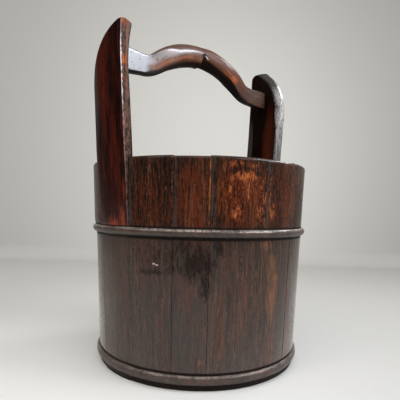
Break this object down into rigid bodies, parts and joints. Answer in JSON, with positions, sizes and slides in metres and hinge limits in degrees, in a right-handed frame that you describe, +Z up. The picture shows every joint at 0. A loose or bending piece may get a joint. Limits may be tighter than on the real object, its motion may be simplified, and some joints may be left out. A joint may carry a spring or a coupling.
{
  "type": "wooden bucket",
  "caption": "Coopered wooden hand bucket with a tapered stave wall drawn tight by iron hoops, tall leaning ear staves and a carved arched handle housed between them",
  "frame": {"origin": "middle of the foot, on the surface that the bucket stands on", "axes": "+Z up, +X from the lower ear towards the higher ear, along the handle"},
  "size_m": [0.2943, 0.2598, 0.389],
  "materials": {
    "stave_lacquer": "worn satin lacquer",
    "ear_lacquer": "worn satin lacquer",
    "handle_lacquer": "rubbed lacquer",
    "hoop_iron": "pitted, lacquered",
    "bottom_wood": "aged, matt",
    "dowel_bamboo": "split bamboo"
  },
  "bodies": {
    "root": {"front_stave_1": "stave_lacquer", "front_stave_2": "stave_lacquer", "front_stave_3": "stave_lacquer", "front_stave_4": "stave_lacquer", "front_stave_5": "stave_lacquer", "front_stave_6": "stave_lacquer", "front_stave_7": "stave_lacquer", "back_stave_1": "stave_lacquer", "back_stave_2": "stave_lacquer", "back_stave_3": "stave_lacquer", "back_stave_4": "stave_lacquer", "back_stave_5": "stave_lacquer", "back_stave_6": "stave_lacquer", "back_stave_7": "stave_lacquer", "left_ear_stave": "ear_lacquer", "right_ear_stave": "ear_lacquer", "carved_handle": "handle_lacquer", "middle_hoop": "hoop_iron", "lower_hoop": "hoop_iron", "front_bottom_board": "bottom_wood", "middle_bottom_board": "bottom_wood", "back_bottom_board": "bottom_wood", "lower_stave_dowels": "dowel_bamboo", "upper_stave_dowels": "dowel_bamboo", "bottom_board_dowels": "dowel_bamboo"}
  },
  "joints": []
}
